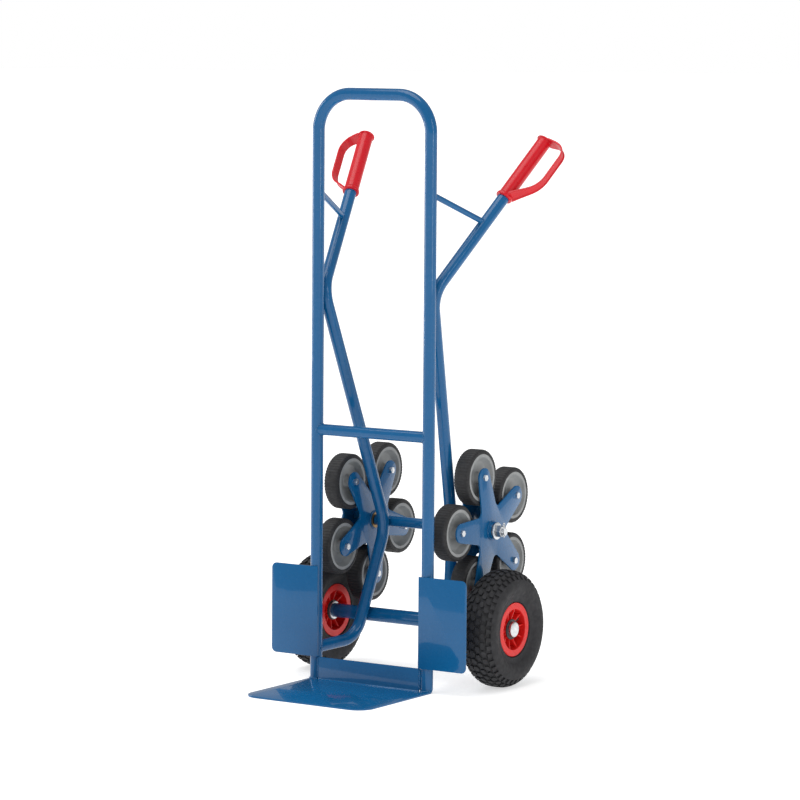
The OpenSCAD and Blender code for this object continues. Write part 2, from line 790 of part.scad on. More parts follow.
// Bolts through the small wheels, head outwards, each with a nut on the inner plate
module star_bolts(turn) {
    head_h = bolt_d * 0.6;
    bolt_nut_h = bolt_d * 0.8;
    across = bolt_d * 0.8 / cos(30);
    color(zinc) on_star(turn) at_arms() {
        union() {
            translate([0, 0, -plate_out - bolt_nut_h - 1]) cylinder(h = 2 * plate_out + bolt_nut_h + 1, r = bolt_d / 2);
            translate([0, 0, plate_out]) cylinder(h = head_h, r = across, $fn = 6);
        }
        translate([0, 0, -plate_out - bolt_nut_h]) difference() {
            cylinder(h = bolt_nut_h, r = across, $fn = 6);
            translate([0, 0, -past]) cylinder(h = bolt_nut_h + 2 * past, r = bolt_d / 2 + fixed_gap);
        }
    }
}

module star_sleeves(turn) {
    color(zinc) on_star(turn) at_arms() translate([0, 0, -star_gap / 2]) difference() {
        cylinder(h = star_gap, r = sleeve_d / 2);
        translate([0, 0, -past]) cylinder(h = star_gap + 2 * past, r = bolt_d / 2 + fixed_gap);
    }
}

// Puts a lathe shape on one of the five arms
module on_arm(turn, index) {
    on_star(turn + 72 * (index - 1)) translate([arm_l, 0, 0]) children();
}

// Small rim: outer ring, dished web and hub
module small_rim(turn, index) {
    outer = small_d / 2 - tread_t;
    inner = outer - ring_t;
    half = small_w / 2 - 0.5;
    hub_half_l = star_gap / 2 - side_gap;
    hub_r = sleeve_d / 2 + 6;
    bore = sleeve_d / 2 + running_gap;
    web = 2.5;
    quarter = [
        [outer, half], [inner, half], [inner - 1, half - 4], [inner - 6, web + 3], [hub_r + 2, web],
        [hub_r, web + 3], [hub_r - 1, hub_half_l], [bore, hub_half_l]
    ];
    color(grey_plastic) on_arm(turn, index) rotate_extrude() polygon(concat(
        quarter,
        [for (i = [len(quarter) - 1 : -1 : 0]) [quarter[i].x, -quarter[i].y]]
    ));
}

module small_tread(turn, index) {
    outer = small_d / 2;
    shoulder = 5;
    half = small_w / 2;
    color(rubber) on_arm(turn, index) rotate_extrude() polygon(concat(
        [[outer - tread_t, -half]],
        arc([outer - shoulder, shoulder - half], shoulder, 270, 360, 6),
        arc([outer - shoulder, half - shoulder], shoulder, 0, 90, 6),
        [[outer - tread_t, half]]
    ));
}

// Mirrors a +X side shape to the -X side
module left() {
    mirror([1, 0, 0]) children();
}

frame_leg(1);  // frame_leg_right
frame_leg(-1);  // frame_leg_left
frame_bend(1);  // frame_bend_right
frame_bend(-1);  // frame_bend_left
frame_top_bar();
upper_crossbar();
side_tube();  // side_tube_right
left() side_tube();  // side_tube_left
strut();  // strut_right
left() strut();  // strut_left
toe_plate();
wheel_guard();  // wheel_guard_right
left() wheel_guard();  // wheel_guard_left
grip();  // grip_right
left() grip();  // grip_left
main_axle_tube();
main_axle_rod();
axle_washers();
axle_caps();
star_axle_tube();
star_axle_rod();
star_washers();
star_nuts();
split_pins();
tyre();  // tyre_right
inner_tube();  // inner_tube_right
rim();  // rim_right
rim_bushes();  // rim_bushes_right
valve();  // valve_right
left() tyre();  // tyre_left
left() inner_tube();  // inner_tube_left
left() rim();  // rim_left
left() rim_bushes();  // rim_bushes_left
left() valve();  // valve_left
star_plates(star_turn_right);  // star_plates_right
star_hub(star_turn_right);  // star_hub_right
star_bushes(star_turn_right);  // star_bushes_right
star_bolts(star_turn_right);  // star_bolts_right
star_sleeves(star_turn_right);  // star_sleeves_right
left() star_plates(star_turn_left);  // star_plates_left
left() star_hub(star_turn_left);  // star_hub_left
left() star_bushes(star_turn_left);  // star_bushes_left
left() star_bolts(star_turn_left);  // star_bolts_left
left() star_sleeves(star_turn_left);  // star_sleeves_left
small_rim(star_turn_right, 1);  // small_rim_right_1
small_rim(star_turn_right, 2);  // small_rim_right_2
small_rim(star_turn_right, 3);  // small_rim_right_3
small_rim(star_turn_right, 4);  // small_rim_right_4
small_rim(star_turn_right, 5);  // small_rim_right_5
small_tread(star_turn_right, 1);  // small_tread_right_1
small_tread(star_turn_right, 2);  // small_tread_right_2
small_tread(star_turn_right, 3);  // small_tread_right_3
small_tread(star_turn_right, 4);  // small_tread_right_4
small_tread(star_turn_right, 5);  // small_tread_right_5
left() small_rim(star_turn_left, 1);  // small_rim_left_1
left() small_rim(star_turn_left, 2);  // small_rim_left_2
left() small_rim(star_turn_left, 3);  // small_rim_left_3
left() small_rim(star_turn_left, 4);  // small_rim_left_4
left() small_rim(star_turn_left, 5);  // small_rim_left_5
left() small_tread(star_turn_left, 1);  // small_tread_left_1
left() small_tread(star_turn_left, 2);  // small_tread_left_2
left() small_tread(star_turn_left, 3);  // small_tread_left_3
left() small_tread(star_turn_left, 4);  // small_tread_left_4
left() small_tread(star_turn_left, 5);  // small_tread_left_5
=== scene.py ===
import itertools
import math
import random

import bmesh
import bpy
from mathutils import Matrix, Vector


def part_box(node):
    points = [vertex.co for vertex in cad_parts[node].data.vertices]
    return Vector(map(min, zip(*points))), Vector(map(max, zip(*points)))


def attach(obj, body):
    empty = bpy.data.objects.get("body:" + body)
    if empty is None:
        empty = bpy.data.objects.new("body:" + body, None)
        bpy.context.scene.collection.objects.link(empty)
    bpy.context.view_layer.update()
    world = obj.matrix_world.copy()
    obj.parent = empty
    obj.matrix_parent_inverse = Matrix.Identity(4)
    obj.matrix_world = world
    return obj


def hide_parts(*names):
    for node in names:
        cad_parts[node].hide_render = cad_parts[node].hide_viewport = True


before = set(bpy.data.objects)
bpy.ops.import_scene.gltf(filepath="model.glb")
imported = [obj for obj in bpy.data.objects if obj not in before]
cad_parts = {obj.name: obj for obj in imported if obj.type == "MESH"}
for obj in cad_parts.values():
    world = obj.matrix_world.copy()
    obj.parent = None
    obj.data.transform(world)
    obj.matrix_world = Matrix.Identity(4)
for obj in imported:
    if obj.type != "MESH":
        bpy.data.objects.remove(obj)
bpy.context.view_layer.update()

# ---------------------------------------------------------------------------------------------
# Frame tube: one steel tube bent into a tall arch, with both feet cut back at the rear so that
# the truck can be tilted. It is welded to everything else and powder coated in one glossy blue.
# ---------------------------------------------------------------------------------------------
MM = 0.001
TUBE_R = 13.5 * MM
TUBE_WALL = 2 * MM
leg_low, leg_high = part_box("frame_leg_right")
_, bar_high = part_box("frame_top_bar")
LEG_X = leg_high.x - TUBE_R
TUBE_Y = (leg_low.y + leg_high.y) / 2
TOP_Z = bar_high.z - TUBE_R
FOOT_Z = leg_low.z
CORNER_R = 82 * MM


def new_paint(name, colour):
    """A material with its shader, its node tree and Object coordinates."""
    paint = bpy.data.materials.new(name)
    paint.use_nodes = True
    tree = paint.node_tree
    shader = tree.nodes["Principled BSDF"]
    shader.inputs["Base Color"].default_value = (*colour, 1)
    place = tree.nodes.new("ShaderNodeTexCoord").outputs["Object"]
    return paint, tree, shader, place


def speckle(tree, place, scale, detail):
    """Noise of a given fineness, in features per metre."""
    noise = tree.nodes.new("ShaderNodeTexNoise")
    noise.inputs["Scale"].default_value = scale
    noise.inputs["Detail"].default_value = detail
    tree.links.new(place, noise.inputs["Vector"])
    return noise.outputs["Fac"]


def spread(tree, value, low, high):
    """Stretches the middle of a noise, where most of it lies, onto the range from low to high."""
    ramp = tree.nodes.new("ShaderNodeMapRange")
    ramp.inputs["From Min"].default_value = 0.3
    ramp.inputs["From Max"].default_value = 0.7
    ramp.inputs["To Min"].default_value = low
    ramp.inputs["To Max"].default_value = high
    tree.links.new(value, ramp.inputs["Value"])
    return ramp.outputs["Result"]


def mottle(tree, shader, place, scale, detail, first, second):
    """Lets the colour wander softly between two tones."""
    mix = tree.nodes.new("ShaderNodeMix")
    mix.data_type = "RGBA"
    mix.inputs["A"].default_value = (*first, 1)
    mix.inputs["B"].default_value = (*second, 1)
    tree.links.new(spread(tree, speckle(tree, place, scale, detail), 0, 1), mix.inputs["Factor"])
    tree.links.new(mix.outputs["Result"], shader.inputs["Base Color"])


def sheen(tree, shader, place, scale, detail, smoothest, roughest):
    """Lets the roughness wander between two values."""
    rough = spread(tree, speckle(tree, place, scale, detail), smoothest, roughest)
    tree.links.new(rough, shader.inputs["Roughness"])


def relief(tree, shader, height, distance, strength):
    """Surface relief of a given depth in metres."""
    bump = tree.nodes.new("ShaderNodeBump")
    bump.inputs["Distance"].default_value = distance
    bump.inputs["Strength"].default_value = strength
    tree.links.new(height, bump.inputs["Height"])
    tree.links.new(bump.outputs["Normal"], shader.inputs["Normal"])


blue_coat, tree, shader, place = new_paint("blue_powder_coat", (0.003, 0.100, 0.262))
mottle(tree, shader, place, 14, 3, (0.0028, 0.097, 0.255), (0.0036, 0.104, 0.270))
sheen(tree, shader, place, 60, 2, 0.25, 0.29)
shader.inputs["Specular IOR Level"].default_value = 0.12
shader.inputs["Coat Weight"].default_value = 0.55
shader.inputs["Coat Roughness"].default_value = 0.045
relief(tree, shader, speckle(tree, place, 260, 1), 0.0001, 0.04)


def only(kind, found):
    """The vertices, edges or faces among what an operator returns."""
    return [g for g in found if isinstance(g, kind)]


def last_ring(found):
    """The ring of edges whose two ends both belong to the newest vertices."""
    verts = set(only(bmesh.types.BMVert, found))
    return [e for e in only(bmesh.types.BMEdge, found) if e.verts[0] in verts and e.verts[1] in verts]


def corners_of(ring):
    """The vertices of a ring of edges, each once and in a fixed order."""
    return list(dict.fromkeys(v for e in ring for v in e.verts))


def ring_at(bm, centre, way, radius, sides=40):
    """A ring of edges square to a direction."""
    verts = bmesh.ops.create_circle(bm, cap_ends=False, segments=sides, radius=radius)["verts"]
    turn = Vector((0, 0, 1)).rotation_difference(way).to_matrix().to_4x4()
    bmesh.ops.transform(bm, matrix=Matrix.Translation(centre) @ turn, verts=verts)
    return list(dict.fromkeys(e for v in verts for e in v.link_edges))


def push(bm, ring, step):
    """Draws a ring along a straight step and returns the new ring."""
    found = bmesh.ops.extrude_edge_only(bm, edges=ring)["geom"]
    bmesh.ops.translate(bm, vec=step, verts=only(bmesh.types.BMVert, found))
    return last_ring(found)


def bend_round(bm, ring, centre, axis, angle, steps):
    """Swings a ring about an axis and returns the new ring."""
    verts = corners_of(ring)
    found = bmesh.ops.spin(bm, geom=verts + ring, cent=centre, axis=axis, angle=angle, steps=steps,
                           use_merge=False, use_duplicate=False)["geom_last"]
    return last_ring(found)


def draw_tube(bm, corners, bend_radii, radius, sides=40):
    """Draws a ring along corner points, with a bend at each inner one. Returns its first and last rings."""
    way = (corners[1] - corners[0]).normalized()
    first = ring = ring_at(bm, corners[0], way, radius, sides)
    here = corners[0]
    for before, corner, after, bend_r in zip(corners, corners[1:], corners[2:], bend_radii):
        into, out = (corner - before).normalized(), (after - corner).normalized()
        turn = into.angle(out)
        start = corner - into * bend_r * math.tan(turn / 2)
        ring = push(bm, ring, start - here)
        inward = (out - into * into.dot(out)).normalized()
        ring = bend_round(bm, ring, start + inward * bend_r, into.cross(out).normalized(), turn,
                          max(4, round(math.degrees(turn) / 4)))
        here = corner + out * bend_r * math.tan(turn / 2)
    ring = push(bm, ring, corners[-1] - here)
    return first, ring


def fit_piece(bm, name, finish, body, nodes=(), soft_angle=35):
    """Turns mesh work into a piece of the truck: clean normals, a finish, a body that it rides on."""
    bmesh.ops.remove_doubles(bm, verts=bm.verts[:], dist=0.00001)
    bmesh.ops.recalc_face_normals(bm, faces=bm.faces[:])
    mesh = bpy.data.meshes.new(name)
    bm.to_mesh(mesh)
    bm.free()
    mesh.polygons.foreach_set("use_smooth", [True] * len(mesh.polygons))
    mesh.set_sharp_from_angle(angle=math.radians(soft_angle))
    mesh.materials.append(finish)
    piece = bpy.data.objects.new(name, mesh)
    bpy.context.scene.collection.objects.link(piece)
    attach(piece, body)
    if nodes:
        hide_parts(*nodes)
    return piece


def cut_flat(bm, point, square_to, drop=False):
    """Cuts all the mesh along a plane, and drops what lies beyond it where asked."""
    bmesh.ops.bisect_plane(bm, geom=bm.verts[:] + bm.edges[:] + bm.faces[:], plane_co=point,
                           plane_no=square_to, clear_outer=drop)


def give_wall(bm, wall):
    """Gives a drawn skin its thickness, inwards."""
    bmesh.ops.remove_doubles(bm, verts=bm.verts[:], dist=0.00001)
    bmesh.ops.recalc_face_normals(bm, faces=bm.faces[:])
    bmesh.ops.solidify(bm, geom=bm.faces[:], thickness=wall)


bm = bmesh.new()
arch_line = ((-LEG_X, FOOT_Z), (-LEG_X, TOP_Z), (LEG_X, TOP_Z), (LEG_X, FOOT_Z))
arch = [Vector((x, TUBE_Y, z)) for x, z in arch_line]
draw_tube(bm, arch, [CORNER_R, CORNER_R], TUBE_R, 48)
cut_flat(bm, (0, TUBE_Y, FOOT_Z), (0, 1, -1), drop=True)
give_wall(bm, TUBE_WALL)
fit_piece(bm, "frame_tube_coated", blue_coat, "chassis",
          ["frame_leg_right", "frame_leg_left", "frame_bend_right", "frame_bend_left", "frame_top_bar"])

# ---------------------------------------------------------------------------------------------
# Crossbar and stay rods: short tubes cut at both ends to the shape of the tubes they meet, then
# welded in place. The bar stiffens the arch, and the rods hold the handles off it.
# ---------------------------------------------------------------------------------------------
HANDLE_BEND = Vector((143, 31.717, 871)) * MM
HANDLE_END = HANDLE_BEND + Vector((94, 306, 325)) * MM
STAY_R = 6.5 * MM
STAY_FOOT_Z = 1090 * MM
STAY_TIP_REACH = 212 * MM
LET_IN = 0.3 * MM


def meet(from_point, way, axis_point, axis_way, radius):
    """How far along a line the near side of a round bar lies."""
    across = way - axis_way * way.dot(axis_way)
    offset = from_point - axis_point
    offset = offset - axis_way * offset.dot(axis_way)
    a, b, c = across.dot(across), 2 * across.dot(offset), offset.dot(offset) - radius * radius
    root = b * b - 4 * a * c
    return (-b - math.sqrt(root)) / (2 * a) if root > 0 else -b / (2 * a)


def coped_tube(bm, start, end, radius, start_bar, end_bar, sides=32):
    """A straight tube between two round bars, each end cut to the bar's side."""
    way = (end - start).normalized()
    middle = (start + end) / 2
    ring = ring_at(bm, middle, way, radius, sides)
    verts = corners_of(ring)
    for heading, bar in ((way, end_bar), (-way, start_bar)):
        found = bmesh.ops.extrude_edge_only(bm, edges=ring)["geom"]
        for v in only(bmesh.types.BMVert, found):
            v.co += heading * (meet(v.co, heading, *bar) + LET_IN)
    return verts


def side_of(sign, point):
    """The same point on the other half of the truck where sign is -1."""
    return Vector((sign * point.x, point.y, point.z))


bm = bmesh.new()
cross_low, cross_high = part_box("upper_crossbar")
CROSSBAR_R = (cross_high.z - cross_low.z) / 2
CROSSBAR_Z = (cross_high.z + cross_low.z) / 2
up = Vector((0, 0, 1))
coped_tube(bm, Vector((-LEG_X, TUBE_Y, CROSSBAR_Z)), Vector((LEG_X, TUBE_Y, CROSSBAR_Z)), CROSSBAR_R,
           (Vector((-LEG_X, TUBE_Y, 0)), up, TUBE_R), (Vector((LEG_X, TUBE_Y, 0)), up, TUBE_R))
give_wall(bm, TUBE_WALL)
fit_piece(bm, "crossbar_coated", blue_coat, "chassis", ["upper_crossbar"])

handle_way = (HANDLE_END - HANDLE_BEND).normalized()
stay_foot = Vector((LEG_X, TUBE_Y, STAY_FOOT_Z))
stay_tip = HANDLE_BEND + handle_way * STAY_TIP_REACH
for sign, side in ((1, "right"), (-1, "left")):
    bm = bmesh.new()
    coped_tube(bm, side_of(sign, stay_foot), side_of(sign, stay_tip), STAY_R,
               (side_of(sign, stay_foot), up, TUBE_R),
               (side_of(sign, HANDLE_BEND), side_of(sign, handle_way), TUBE_R), 24)
    fit_piece(bm, f"stay_rod_{side}", blue_coat, "chassis", [f"strut_{side}"])

# ---------------------------------------------------------------------------------------------
# Side tubes: a mirrored pair that runs from the handle down past the leg, back over the two axle
# tubes and forward again to the foot of the leg. Each is one tube with three bends.
# ---------------------------------------------------------------------------------------------
KNEE = Vector((89, 204.0135, 331)) * MM
HEEL = Vector((122.6, 136.5276, 81)) * MM
LEG_FOOT = Vector((LEG_X, TUBE_Y, 74 * MM))
SIDE_BENDS = [66 * MM, 119 * MM, 58 * MM]
for sign, side in ((1, "right"), (-1, "left")):
    bm = bmesh.new()
    corners = [side_of(sign, p) for p in (HANDLE_END, HANDLE_BEND, KNEE, HEEL, LEG_FOOT)]
    first, last = draw_tube(bm, corners, SIDE_BENDS, TUBE_R, 48)
    inwards = (corners[-1] - corners[-2]).normalized()
    for v in corners_of(last):
        v.co += inwards * (meet(v.co, inwards, corners[-1], up, TUBE_R) + LET_IN)
    give_wall(bm, TUBE_WALL)
    fit_piece(bm, f"side_tube_{side}_coated", blue_coat, "chassis", [f"side_tube_{side}"])

# ---------------------------------------------------------------------------------------------
# Toe plate: 4 mm steel with two rounded front corners, a lip folded up along its rear edge and
# a lug at each side that reaches under the leg. The folded sheet is welded to both feet.
# ---------------------------------------------------------------------------------------------
toe_low, toe_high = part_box("toe_plate")
TOE_T = 4 * MM
TOE_CORNER_R = 40 * MM
FOLD_R = 7 * MM
LIP_HALF = LEG_X - TUBE_R - 0.3 * MM
SLIT_HALF = LIP_HALF + 1.8 * MM


def soften(bm, width):
    """Rounds every edge that turns by more than 40 degrees."""
    sharp = [e for e in bm.edges if len(e.link_faces) == 2 and e.calc_face_angle() > math.radians(40)]
    bmesh.ops.bevel(bm, geom=sharp, offset=width, offset_type="OFFSET", segments=2, profile=0.5,
                    affect="EDGES", clamp_overlap=True, material=-1)


bm = bmesh.new()
bmesh.ops.create_grid(bm, x_segments=1, y_segments=1, size=1)
half_depth = (toe_high.y - toe_low.y) / 2
bmesh.ops.scale(bm, vec=(toe_high.x, half_depth, 1), verts=bm.verts[:])
bmesh.ops.translate(bm, vec=(0, toe_low.y + half_depth, 0), verts=bm.verts[:])
bmesh.ops.bevel(bm, geom=[v for v in bm.verts if v.co.y < 0], offset=TOE_CORNER_R, offset_type="OFFSET",
                segments=12, profile=0.5, affect="VERTICES", clamp_overlap=True, material=-1)
for cut in (-SLIT_HALF, -LIP_HALF, LIP_HALF, SLIT_HALF):
    cut_flat(bm, (cut, 0, 0), (1, 0, 0))
cut_flat(bm, (0, 0, 0), (0, 1, 0))
waste = [f for f in bm.faces if f.calc_center_median().y > 0 and abs(f.calc_center_median().x) < SLIT_HALF]
bmesh.ops.delete(bm, geom=waste, context="FACES")
fold = [e for e in bm.edges
        if all(abs(v.co.y) < 0.02 * MM and abs(v.co.x) < LIP_HALF + 0.1 * MM for v in e.verts)]
fold = bend_round(bm, fold, (0, 0, FOLD_R), (1, 0, 0), math.pi / 2, 8)
push(bm, fold, Vector((0, 0, toe_high.z - FOLD_R)))
bmesh.ops.remove_doubles(bm, verts=bm.verts[:], dist=0.00001)
bmesh.ops.recalc_face_normals(bm, faces=bm.faces[:])
if min(bm.faces, key=lambda f: f.calc_center_median().z).normal.z > 0:
    bmesh.ops.reverse_faces(bm, faces=bm.faces[:])
bmesh.ops.solidify(bm, geom=bm.faces[:], thickness=TOE_T)
soften(bm, 0.7 * MM)
fit_piece(bm, "toe_plate_coated", blue_coat, "chassis", ["toe_plate"])

# ---------------------------------------------------------------------------------------------
# Wheel guards: flat 3 mm plates with two rounded outer corners, welded along the front of the
# legs so that a load doesn't rub on the main wheels.
# ---------------------------------------------------------------------------------------------
GUARD_CORNER_R = 12 * MM

for sign, side in ((1, "right"), (-1, "left")):
    low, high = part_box(f"wheel_guard_{side}")
    middle = (low + high) / 2
    bm = bmesh.new()
    bmesh.ops.create_grid(bm, x_segments=1, y_segments=1, size=1)
    bmesh.ops.scale(bm, vec=((high.x - low.x) / 2, (high.z - low.z) / 2, 1), verts=bm.verts[:])
    bmesh.ops.bevel(bm, geom=[v for v in bm.verts if v.co.x * sign > 0], offset=GUARD_CORNER_R,
                    offset_type="OFFSET", segments=8, profile=0.5, affect="VERTICES", clamp_overlap=True,
                    material=-1)
    bmesh.ops.rotate(bm, cent=(0, 0, 0), matrix=Matrix.Rotation(math.pi / 2, 3, "X"), verts=bm.verts[:])
    bmesh.ops.translate(bm, vec=(middle.x, low.y, middle.z), verts=bm.verts[:])
    bmesh.ops.solidify(bm, geom=bm.faces[:], thickness=high.y - low.y)
    soften(bm, 0.6 * MM)
    fit_piece(bm, f"wheel_guard_{side}_coated", blue_coat, "chassis", [f"wheel_guard_{side}"])

# ---------------------------------------------------------------------------------------------
# Axle tubes: two straight tubes across the truck that hold the axle rods. They are welded to the
# backs of the side tubes and carry the main wheels and the stars.
# ---------------------------------------------------------------------------------------------
AXLE_SPACE = 0.1 * MM
axle_low, axle_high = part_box("main_axle_tube")
star_low, star_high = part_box("star_axle_tube")
rod_low, rod_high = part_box("main_axle_rod")
star_rod_low, star_rod_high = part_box("star_axle_rod")
AXLE = Vector((0, (axle_low.y + axle_high.y) / 2, (axle_low.z + axle_high.z) / 2))
STAR_AXLE = Vector((0, (star_low.y + star_high.y) / 2, (star_low.z + star_high.z) / 2))
AXLE_R = (rod_high.z - rod_low.z) / 2
STAR_AXLE_R = (star_rod_high.z - star_rod_low.z) / 2
AXLE_TUBE_R = (axle_high.z - axle_low.z) / 2
STAR_TUBE_R = 12 * MM


def turned(bm, section, centre, sides=64):
    """Spins a section, given in millimetres as distance from the axis and place along X, about an X axis."""
    verts = [bmesh.ops.create_vert(bm, co=centre + Vector((x, r, 0)) * MM)["vert"][0] for r, x in section]
    edges = [bm.edges.new(pair) for pair in zip(verts, verts[1:] + verts[:1])]
    bmesh.ops.spin(bm, geom=verts + edges, cent=centre, axis=(1, 0, 0), angle=math.tau, steps=sides,
                   use_merge=True, use_duplicate=False)
    bmesh.ops.remove_doubles(bm, verts=bm.verts[:], dist=0.00001)


def ring_section(bore_r, outside_r, start, end, edge=0.5):
    """Section of a ring with small chamfers on its outside corners."""
    return [(bore_r, start), (outside_r - edge, start), (outside_r - 0.3 * edge, start + 0.3 * edge),
            (outside_r, start + edge), (outside_r, end - edge), (outside_r - 0.3 * edge, end - 0.3 * edge),
            (outside_r - edge, end), (bore_r, end)]


for name, low, high, centre, outside_r, bore_r in (
        ("main_axle_tube", axle_low, axle_high, AXLE, AXLE_TUBE_R, AXLE_R + AXLE_SPACE),
        ("star_axle_tube", star_low, star_high, STAR_AXLE, STAR_TUBE_R, STAR_AXLE_R + AXLE_SPACE)):
    bm = bmesh.new()
    turned(bm, ring_section(bore_r / MM, outside_r / MM, low.x / MM, high.x / MM), centre, 56)
    fit_piece(bm, f"{name}_coated", blue_coat, "chassis", [name])

# ---------------------------------------------------------------------------------------------
# Weld beads: thin ripples of filler where each tube, plate and axle tube meets the next one,
# under the same blue coat as the rest.
# ---------------------------------------------------------------------------------------------
bead_numbers = itertools.count(1)
bead_ripple = random.Random(11)


def weld_bead(path, body, closed=False, size=1.7 * MM):
    """Lays a rippled bead of filler along points, as a curve that becomes a mesh."""
    name = f"weld_bead_{next(bead_numbers):02d}"
    curve = bpy.data.curves.new(name, "CURVE")
    curve.dimensions = "3D"
    curve.bevel_depth = size
    curve.bevel_resolution = 2
    curve.use_fill_caps = True
    spline = curve.splines.new("POLY")
    fine = []
    ends = list(zip(path, path[1:] + path[:1])) if closed else list(zip(path, path[1:]))
    for a, b in ends:
        parts = max(1, round((b - a).length / (0.9 * MM)))
        fine += [a.lerp(b, i / parts) for i in range(parts)]
    if not closed:
        fine.append(path[-1])
    spline.points.add(len(fine) - 1)
    for i, (point, co) in enumerate(zip(spline.points, fine)):
        point.co = (*co, 1)
        fade = 1 if closed else min(1, 0.45 + 0.25 * min(i, len(fine) - 1 - i))
        point.radius = fade * (1 + 0.16 * math.sin(i * math.tau / 4) + bead_ripple.uniform(-0.05, 0.05))
    spline.use_cyclic_u = closed
    source = bpy.data.objects.new(name + "_path", curve)
    bpy.context.scene.collection.objects.link(source)
    mesh = bpy.data.meshes.new_from_object(source.evaluated_get(bpy.context.evaluated_depsgraph_get()))
    bpy.data.objects.remove(source)
    bm = bmesh.new()
    bm.from_mesh(mesh)
    bpy.data.meshes.remove(mesh)
    return fit_piece(bm, name, blue_coat, body, soft_angle=70)


def round_cope(point, way, radius, bar, parts=40):
    """The closed line where a tube that ends on a round bar meets its side."""
    across = way.orthogonal().normalized()
    other = way.cross(across)
    line = []
    for i in range(parts):
        turn = math.tau * i / parts
        start = point + (across * math.cos(turn) + other * math.sin(turn)) * radius
        line.append(start + way * meet(start, way, *bar))
    return line


def upright(sign):
    """The leg on one side, as a bar: a point on its axis, its direction and its radius."""
    return Vector((sign * LEG_X, TUBE_Y, 0)), up, TUBE_R


for sign in (1, -1):
    middle = Vector((0, TUBE_Y, CROSSBAR_Z))
    weld_bead(round_cope(middle, Vector((sign, 0, 0)), CROSSBAR_R, upright(sign)), "chassis", True)
    foot, tip = side_of(sign, stay_foot), side_of(sign, stay_tip)
    stay_way = (tip - foot).normalized()
    stay_middle = (foot + tip) / 2
    handle_bar = (side_of(sign, HANDLE_BEND), side_of(sign, handle_way), TUBE_R)
    weld_bead(round_cope(stay_middle, -stay_way, STAY_R, upright(sign), 24), "chassis", True, 1.3 * MM)
    weld_bead(round_cope(stay_middle, stay_way, STAY_R, handle_bar, 24), "chassis", True, 1.3 * MM)
    heel, foot = side_of(sign, HEEL), side_of(sign, LEG_FOOT)
    weld_bead(round_cope(heel, (foot - heel).normalized(), TUBE_R, upright(sign)), "chassis", True)
    leg = Vector((sign * LEG_X, TUBE_Y, 0))
    turns = [math.radians(a) for a in range(180, 361, 9)]
    feet = [leg + Vector((TUBE_R * math.cos(a), TUBE_R * math.sin(a), TOE_T + 0.6 * MM)) for a in turns]
    weld_bead(feet, "chassis", size=2.1 * MM)
    lip_end = Vector((sign * (LIP_HALF + 2.2 * MM), FOLD_R - 0.5 * TOE_T, 0))
    weld_bead([lip_end + up * 7 * MM, lip_end + up * 53.5 * MM], "chassis", size=2.7 * MM)
    for low_z, high_z in ((62, 92), (140, 172), (220, 250)):
        stitch = Vector((sign * (LEG_X + 8.5 * MM), TUBE_Y - TUBE_R * 0.86, 0))
        weld_bead([stitch + up * low_z * MM, stitch + up * high_z * MM], "chassis")
    axle_share = (AXLE.z - KNEE.z) / (HEEL.z - KNEE.z)
    for centre, radius, share in ((AXLE, AXLE_TUBE_R, axle_share), (STAR_AXLE, STAR_TUBE_R, 0)):
        crossing = KNEE.lerp(HEEL, share)
        for rise in (-0.55 * radius, 0.55 * radius):
            y = centre.y - math.sqrt(radius ** 2 - rise ** 2) - 0.6 * MM
            weld_bead([Vector((sign * crossing.x + x * MM, y, centre.z + rise)) for x in (-8, 8)], "chassis")

# ---------------------------------------------------------------------------------------------
# Safety grips: red moulded sleeves pushed onto the handles, each with a strap that guards the
# knuckles. The strap has a raised edge along both sides and flares into the sleeve at its ends.
# ---------------------------------------------------------------------------------------------
GRIP_L = 174 * MM
GRIP_TOP = 4 * MM
GRIP_R = 16.2 * MM
COLLAR_R = 19 * MM
GRIP_ROLL = math.radians(9)
STRAP_T = 4.5 * MM
STRAP_HALF = 10.5 * MM
STRAP_REACH = 62 * MM
STRAP_LINE = [(11.7, 8.25), (62, 55.68), (62, 171.75), (11.7, 171.75)]
STRAP_BENDS = [58, 30]

grip_red, tree, shader, place = new_paint("grip_red_plastic", (0.60, 0.006, 0.015))
shader.inputs["Specular IOR Level"].default_value = 0.35
mottle(tree, shader, place, 40, 3, (0.58, 0.005, 0.014), (0.63, 0.008, 0.018))
sheen(tree, shader, place, 180, 2, 0.26, 0.34)
relief(tree, shader, speckle(tree, place, 1500, 2), 0.0001, 0.08)


def grip_matrix(sign):
    """Puts a grip on its handle: its +Z runs up the handle and its +X points towards the strap."""
    level = (Vector((1, 0, 0)) - handle_way * handle_way.x).normalized()
    out = level * math.cos(GRIP_ROLL) + handle_way.cross(level) * math.sin(GRIP_ROLL)
    across = handle_way.cross(out)
    base = HANDLE_END - handle_way * (GRIP_L - GRIP_TOP)
    rows = Matrix((out, across, handle_way)).transposed().to_4x4()
    flip = Matrix.Diagonal((sign, 1, 1, 1))
    return flip @ Matrix.Translation(base) @ rows


def strap_half_width(from_axis):
    """Half the width of the strap, which flares towards the sleeve."""
    share = max(0, min(1, (STRAP_REACH - from_axis) / (STRAP_REACH - GRIP_R)))
    return STRAP_HALF + (GRIP_R - STRAP_HALF) * share ** 1.6


